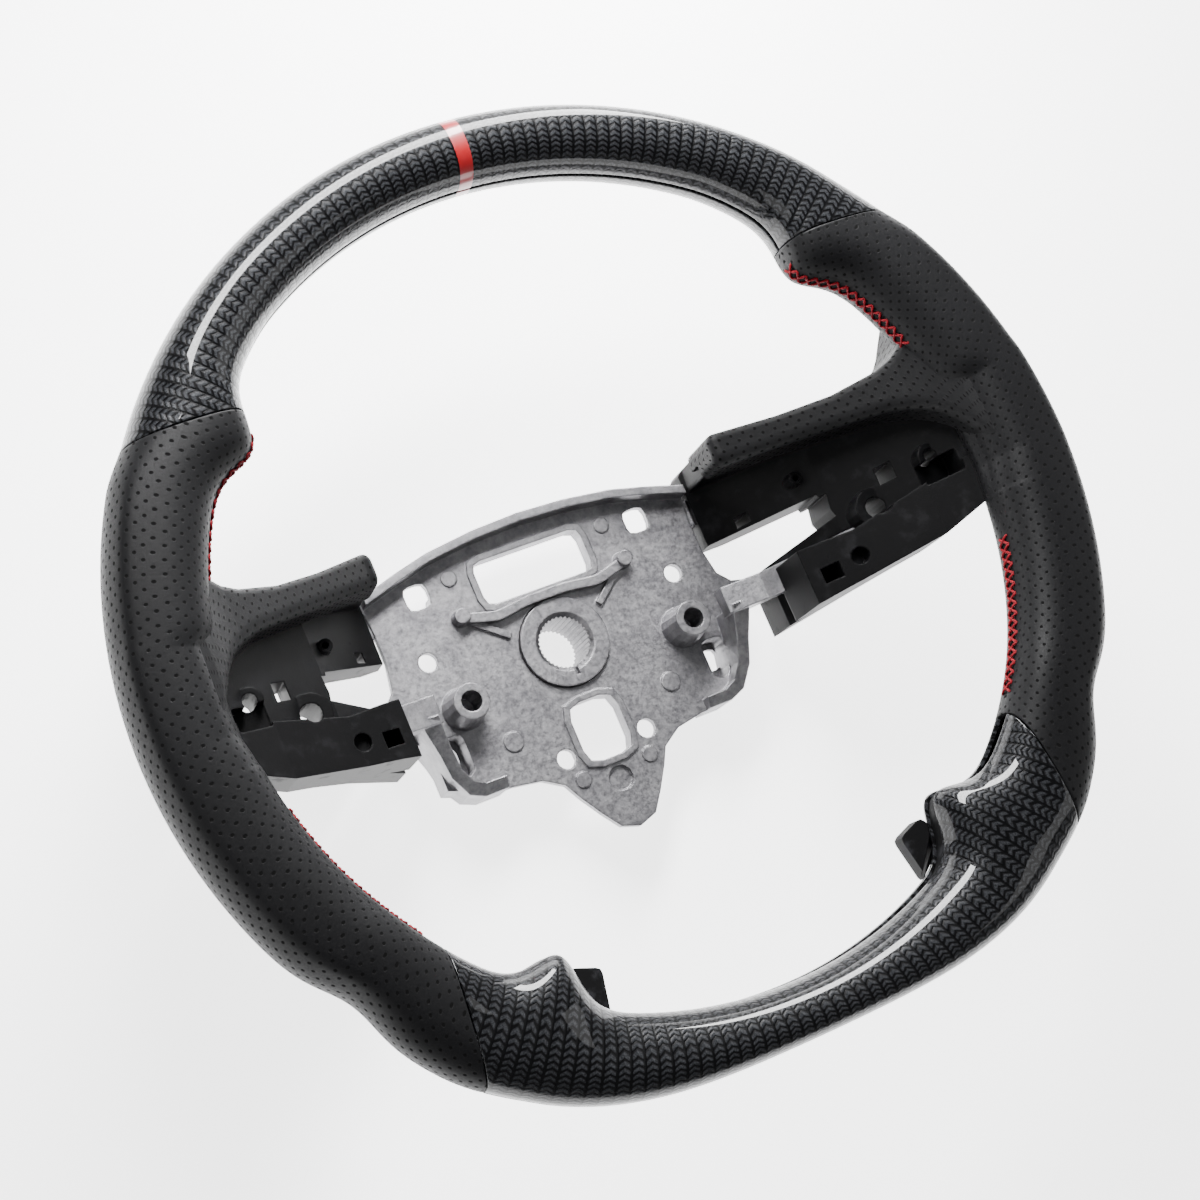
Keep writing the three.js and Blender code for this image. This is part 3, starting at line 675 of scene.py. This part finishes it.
# %% Leather grips
SPOKE_EDGE_Y = (-26.0, -23.0, -18.0, -6.0, 24.0, 31.0, 37.0, 42.0)  # mm
SPOKE_EDGE_X = (60.0, 133.0, 147.8, 151.4, 151.4, 145.0, 130.0, 60.0)
SPOKE_RADIUS = 148.0  # mm, where the outline's y is taken
TUCK_BEHIND, TUCK_IN_FRONT = 5.5, 3.5  # mm, of leather inside the spoke's outline
GRIP_LENGTH = 240.0  # mm, from seam to seam
SEAMS = ((17.0, 41.0), (-38.5, -12.5))  # clock angles of the sewn lengths
MM_PER_TURN = 0.29  # mm of hide in one degree of turn at the inner equator


def grip_depth(clock, turn):
    """Depth in mm of the leather's face: minus the crest, plus the sewn groove."""
    crest = 0.9 * bump(turn, 58.0, 15.0) * ramp(clock, -44, -30) * (1 - ramp(clock, 24, 34))
    sewn = sum(ramp(clock, a, a + 3) * (1 - ramp(clock, b - 3, b)) for a, b in SEAMS)
    from_seam = (180.0 - np.abs(turn)) * MM_PER_TURN
    return -crest + 0.5 * sewn * np.exp(-((from_seam / 0.55) ** 2))


def spoke_limit(clock):
    """The radius in mm at which the spoke's outline X(y) ends: X(R sin a) / cos a."""
    a = np.radians(clock)
    return np.interp(SPOKE_RADIUS * np.sin(a), SPOKE_EDGE_Y, SPOKE_EDGE_X) / np.cos(a)


def grip_grid(depth, turn, rows=300):
    """Grid of the hide at a depth, and the clock angles of its points."""
    low = seam_clock(turn, False, HALF_GAP)
    high = seam_clock(turn, True, -HALF_GAP)
    along, along_depth = edge_steps(GRIP_LENGTH, GRIP_LENGTH / rows, ROLL)
    clock = low[None, :] + (high - low)[None, :] * (along / GRIP_LENGTH)[:, None]
    down = depth + grip_depth(clock, turn[None, :]) + along_depth[:, None]
    in_front = ramp(np.sin(np.radians(turn))[None, :], -0.15, 0.10)
    tuck = TUCK_BEHIND - (TUCK_BEHIND - TUCK_IN_FRONT) * in_front
    return rim_point(clock, turn[None, :], down, spoke_limit(clock) - tuck), clock


# Columns are finer near the sewn equator, where the groove is.
near = np.array([0.0, 0.8, 1.6, 2.6, 4.0, 6.0])
turn = np.concatenate([-180.0 + near, np.linspace(-171.0, 171.0, 110), 180.0 - near[:0:-1]])
wrap_turn = np.append(turn, 180.0)
face, clock = grip_grid(0.0, turn)
back, _ = grip_grid(PLY, turn)
clock_wrap = np.concatenate([clock, clock[:, :1]], axis=1)
hide_uv = rim_uv(clock_wrap, wrap_turn[None, :])
for side, sign in (("right", 1.0), ("left", -1.0)):
    flip = np.array([sign, 1.0, 1.0])
    hide = slab(face * flip, back * flip, hide_uv, closed=True)
    grip = add_piece(f"leather_grip_{side}", *hide, leather, "perforated_leather", sharp=60.0)
    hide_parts(f"leather_wrap_{side}", f"grip_foam_{side}")

# %% [markdown]
# ## Leather over the spokes' upper walls
#
# The hide runs on from the grip over the upper wall of each spoke. A copy of the wall's CAD mesh
# pushed outwards would keep its hard corners, so the cover is a profile carried along a path: a U
# with a soft front ridge, swept along the wall's rising edge and closed over its inboard end. At
# the outboard end its front curves down and its rear out, and both run into the grip.

# %% The wall's profile
WALL_X = (72.5, 95.0, 113.0, 128.0, 134.0, 137.0, 139.0, 141.0, 144.0, 148.0, 152.0)  # mm
WALL_TOP = (66.0, 82.7, 96.0, 107.4, 112.0, 114.6, 116.5, 118.5, 121.6, 125.4, 128.0)
WALL_FRONT = (39.0, 35.1, 32.0, 29.0, 26.2, 24.2, 22.4, 20.2, 15.6, 8.0, -2.0)
WALL_BACK = (48.5, 43.5, 41.0, 41.6, 43.6, 46.0, 49.2, 53.6, 60.0, 66.0, 70.0)
END_ROUND = 3.2  # mm, radius of the inboard end's edge
HALF_WALL = 6.5  # mm, about half the cover's thickness at that end
WALL_START = 70.7  # mm, x of that end
WALL_GAP = 0.3  # mm, between the wall and its cover
SKIN_RIDGE, LINING_RIDGE, REAR_ROUND = 4.6, 1.2, 3.0  # mm, radii of the profile's corners
REAR_DROP = 26.0  # mm, from the top to the rear hem
CREST_COLUMN = 20  # grid column at the top of the ridge


def wall_profile(x, grow, ridge):
    """Points (y, z) round the wall at x, from the front hem over the ridge to the rear hem.

    A rectangle grown by `grow`, whose front corner has the radius `ridge` and whose rear corner
    has the radius REAR_ROUND.
    """
    top = np.interp(x, WALL_X, WALL_TOP) + grow
    front = np.interp(x, WALL_X, WALL_FRONT) - grow
    rear = np.interp(x, WALL_X, WALL_BACK) + grow
    hem = np.interp(x, [72.0, 95.0, 134.0, 148.0], [19.0, 17.0, 17.0, 9.0])
    a = np.radians(np.linspace(0, 90, 9))
    rear_round = min(REAR_ROUND, ridge)
    up = np.linspace(top - hem, top - ridge, 12, endpoint=False)
    over = np.linspace(front + ridge, rear - rear_round, 8)[1:-1]
    down = np.linspace(top - rear_round, top - REAR_DROP, 13)[1:]
    bend = front + ridge * (1 - np.cos(a)), top - ridge * (1 - np.sin(a))
    fall = rear - rear_round * (1 - np.sin(a)), top - rear_round * (1 - np.cos(a))
    y = np.concatenate([np.full(len(up), front), bend[0], over, fall[0], np.full(len(down), rear)])
    z = np.concatenate([up, bend[1], np.full(len(over), top), fall[1], down])
    return np.column_stack([y, z])


print("wall profile:", len(wall_profile(100.0, 0.0, SKIN_RIDGE)), "points")


# %% Leather on the spoke walls
def wall_grid(grow, ridge, start):
    """The U-profile swept from x = start to x = 152, with its inboard end folded shut."""
    straight = np.linspace(start + END_ROUND, 132.0, 70)
    stations = np.concatenate([straight, np.linspace(132.4, WALL_X[-1], 50)])
    profiles = [wall_profile(max(x, WALL_X[0]), grow, ridge) for x in stations]
    body = [np.column_stack([np.full(len(p), x), p]) for x, p in zip(stations, profiles)]
    first = body[0]
    middle = (first[:, 1].min() + first[:, 1].max()) / 2
    crown = first[:, 2].max() - (first[:, 1].max() - first[:, 1].min()) / 2
    low = np.minimum(first[:, 2], crown)
    spine = np.column_stack([first[:, 0], np.full(len(first), middle), low])
    cap = []
    for share in (1.0, 0.9, 0.8, 0.7, 0.6, 0.52):
        row = first + (spine - first) * share
        row[:, 0] = start
        cap.append(row)
    for t in np.radians([0.0, 22.5, 45.0, 67.5]):
        row = first + (spine - first) * (END_ROUND * (1 - math.sin(t)) / HALF_WALL)
        row[:, 0] = start + END_ROUND * (1 - math.cos(t))
        cap.append(row)
    return np.array(cap + body)


skin = wall_grid(WALL_GAP + PLY, SKIN_RIDGE, WALL_START)
lining = wall_grid(WALL_GAP, LINING_RIDGE, WALL_START + PLY)
distance_along = np.linalg.norm(np.diff(skin[:, CREST_COLUMN], axis=0), axis=1)
distance_across = np.linalg.norm(np.diff(skin, axis=1), axis=2)
wall_u = np.concatenate([[0.0], np.cumsum(distance_along)])
wall_v = np.pad(np.cumsum(distance_across, axis=1), ((0, 0), (1, 0)))
wall_v -= wall_v[:, [CREST_COLUMN]]
wall_uv = np.stack(np.broadcast_arrays(wall_u[:, None], wall_v), axis=-1)
for side, sign in (("right", 1.0), ("left", -1.0)):
    flip = np.array([sign, 1.0, 1.0])
    hide = slab(skin * flip, lining * flip, wall_uv)
    add_piece(f"leather_spoke_{side}", *hide, leather, "perforated_leather", sharp=60.0)

# %% [markdown]
# ## Cross-stitching
#
# The hide is closed by hand with a baseball stitch. Two rows of holes, 2.5 mm to either side of
# the join, are laced with thread every 3.7 mm, first one way and then the other, so the threads
# cross over the join. A texture of crosses would lie flat, so each thread is a tube. It goes from
# one row to the other over a low arch and dives into the leather at both ends. Its section has
# two lobes, which turn along the yarn as its two plies do.

# %% One thread
STITCH_PITCH, STITCH_REACH, YARN = 3.7, 2.5, 0.48  # mm


def yarn_tube(path, radius, sides=8):
    """A grid round a path: r = radius (1 + 0.2 cos 2 (phi - twist)), two plies, 1 turn in 3 mm."""
    step = np.gradient(path, axis=0)
    tangent = step / np.linalg.norm(step, axis=1, keepdims=True)
    side = np.cross(tangent, np.array([0.0, 0.0, 1.0]) + 1e-3)
    side /= np.linalg.norm(side, axis=1, keepdims=True)
    other = np.cross(tangent, side)
    run = np.concatenate([[0.0], np.cumsum(np.linalg.norm(np.diff(path, axis=0), axis=1))])
    phi = np.linspace(0, 2 * math.pi, sides, endpoint=False)[None, :]
    lobes = radius * (1 + 0.2 * np.cos(2 * (phi - 2 * math.pi * run[:, None] / 3.0)))
    lobes[[0, -1]] *= 0.05
    cosine, sine = np.cos(phi)[..., None], np.sin(phi)[..., None]
    offset = lobes[..., None] * (cosine * side[:, None] + sine * other[:, None])
    turns = np.append(phi[0], 2 * math.pi)[None, :] * radius
    uv = np.stack(np.broadcast_arrays(run[:, None], turns), axis=-1)
    return path[:, None] + offset, uv


def thread_path(start, end, lean):
    """Points along one thread, across the join and from one clock angle to another.

    With s from -1 to 1 along the thread, it stands 0.55 (1 - s^4) - 0.5 s^8 mm above the leather,
    and the threads of one lean lie 0.24 mm above those of the other in the middle.
    """
    s = np.linspace(-1, 1, 15)
    clock = (start + end) / 2 + lean * s * (end - start) / 2
    reach = s * STITCH_REACH / MM_PER_TURN
    lift = 0.55 * (1 - s**4) - 0.5 * s**8 + 0.12 * lean * (1 - s**2)
    base = rim_point(clock, 180.0 - reach, grip_depth(clock, 180.0 - np.abs(reach)))
    away = np.stack([np.cos(np.radians(clock)), np.sin(np.radians(clock)), 0 * clock], axis=-1)
    return base - away * lift[:, None]


print("one thread:", len(thread_path(25.0, 26.0, 1.0)), "steps")


# %% Stitches
def end_cap(ring, order):
    """Quads that close a ring of corners, wound forwards for order 1 and backwards for -1."""
    pairs = range(1, len(ring) - 2, 2)
    return np.array([[ring[0], ring[k], ring[k + 1], ring[k + 2]][::order] for k in pairs])


def stitches(first, last):
    """Points, quads and UVs of all the stitches of one seam, on the right-hand grip."""
    radius = float(inner_radius(np.array((first + last) / 2)))
    count = int(np.radians(last - first) * radius / STITCH_PITCH)
    centres = np.linspace(first, last, count + 1)
    points, quads, uvs, total = [], [], [], 0
    for a, b in zip(centres[:-1], centres[1:]):
        for lean in (1.0, -1.0):
            grid, uv = yarn_tube(thread_path(a, b, lean), YARN)
            rows, sides = grid.shape[:2]
            faces, places = grid_quads(rows, sides, closed=True)
            points.append(grid.reshape(-1, 3))
            quads.append(faces + total)
            uvs.append(uv[places[..., 0], places[..., 1]])
            for row, order in ((0, 1), (rows - 1, -1)):
                caps = end_cap(total + row * sides + np.arange(sides), order)
                quads.append(caps)
                uvs.append(np.zeros((len(caps), 4, 2)))
            total += rows * sides
    return np.concatenate(points), np.concatenate(quads), np.concatenate(uvs)


for name, (first, last) in (("upper", (18.5, 40.0)), ("lower", (-37.0, -13.5))):
    points, quads, uvs = stitches(first, last)
    for side, sign in (("right", 1.0), ("left", -1.0)):
        flip = np.array([sign, 1.0, 1.0])
        title = f"cross_stitch_{name}_{side}"
        seam = add_piece(title, points * flip, quads, uvs, thread, "thread_red", 75.0)
        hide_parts(f"{name}_stitching_{side}")

# %% [markdown]
# ## Floor, light and camera
#
# A pale floor lies just under the hub and glows a little, as a lit paper sweep does, so that the
# wheel stands out dark against it. One narrow softbox stands beyond 12 o'clock, lower at its right
# end. Lacquer shows a light's own shape, so a long, narrow box is what draws the streak along the
# rim. Two wide, weaker lights fill in from the sides.

# %% Floor and lights
floor_mesh = bpy.data.meshes.new("floor")
floor_z = cad_box[0][2] - 0.0005
corners = [(-6, -6, floor_z), (6, -6, floor_z), (6, 6, floor_z), (-6, 6, floor_z)]
floor_mesh.from_pydata(corners, [], [(0, 1, 2, 3)])
paper = plain_material("pale_paper", 0xF4F4F5, 0.0, 0.9)
glow = next(n for n in paper.node_tree.nodes if n.type == "BSDF_PRINCIPLED")
glow.inputs["Emission Color"].default_value = (1.0, 1.0, 1.0, 1.0)
glow.inputs["Emission Strength"].default_value = 3.2
floor_mesh.materials.append(paper)
floor = bpy.data.objects.new("floor", floor_mesh)
bpy.context.scene.collection.objects.link(floor)

world = bpy.data.worlds.new("studio")
world.use_nodes = True
world.node_tree.nodes["Background"].inputs[0].default_value = (0.95, 0.97, 1.0, 1.0)
world.node_tree.nodes["Background"].inputs[1].default_value = 0.18
bpy.context.scene.world = world


def softbox(name, place, size, watts, along):
    """An area light at place (m) that looks at the wheel, its long side parallel to along."""
    back = Vector(place) - Vector((0, 0, 0.08))
    back.normalize()
    right = Vector(along)
    right = (right - back * right.dot(back)).normalized()
    data = bpy.data.lights.new(name, "AREA")
    data.shape = "RECTANGLE"
    data.size, data.size_y = size
    data.energy = watts
    lamp = bpy.data.objects.new(name, data)
    turned = Matrix((right, back.cross(right), back)).transposed().to_4x4()
    lamp.matrix_world = Matrix.Translation(place) @ turned
    bpy.context.scene.collection.objects.link(lamp)


softbox("streak_softbox", (0.093, 0.420, 0.362), (0.60, 0.13), 16.0, (-0.724, -0.104, 0.681))
softbox("right_fill", (1.6, -0.3, 1.3), (1.4, 1.4), 12.0, (0, 1, 0))
softbox("left_fill", (-1.7, -0.6, 1.2), (1.4, 1.4), 12.0, (0, 1, 0))
print("floor and 3 lights")

# %% [markdown]
# The camera looks down on the wheel from its lower left, through a 63 mm lens.

# %% Camera
right = Vector((0.88330, -0.38985, 0.26038))
up = Vector((0.32318, 0.90870, 0.26421))
back = Vector((-0.33961, -0.14923, 0.92865))
camera_data = bpy.data.cameras.new("camera")
camera_data.sensor_width = 36.0
camera_data.lens = 2100.14 / 1200.0 * 36.0
camera = bpy.data.objects.new("camera", camera_data)
turned = Matrix((right, up, back)).transposed().to_4x4()
camera.matrix_world = Matrix.Translation((-0.26196, -0.11334, 0.79608)) @ turned
bpy.context.scene.collection.objects.link(camera)
bpy.context.scene.camera = camera
print("camera lens", round(camera_data.lens, 1), "mm")
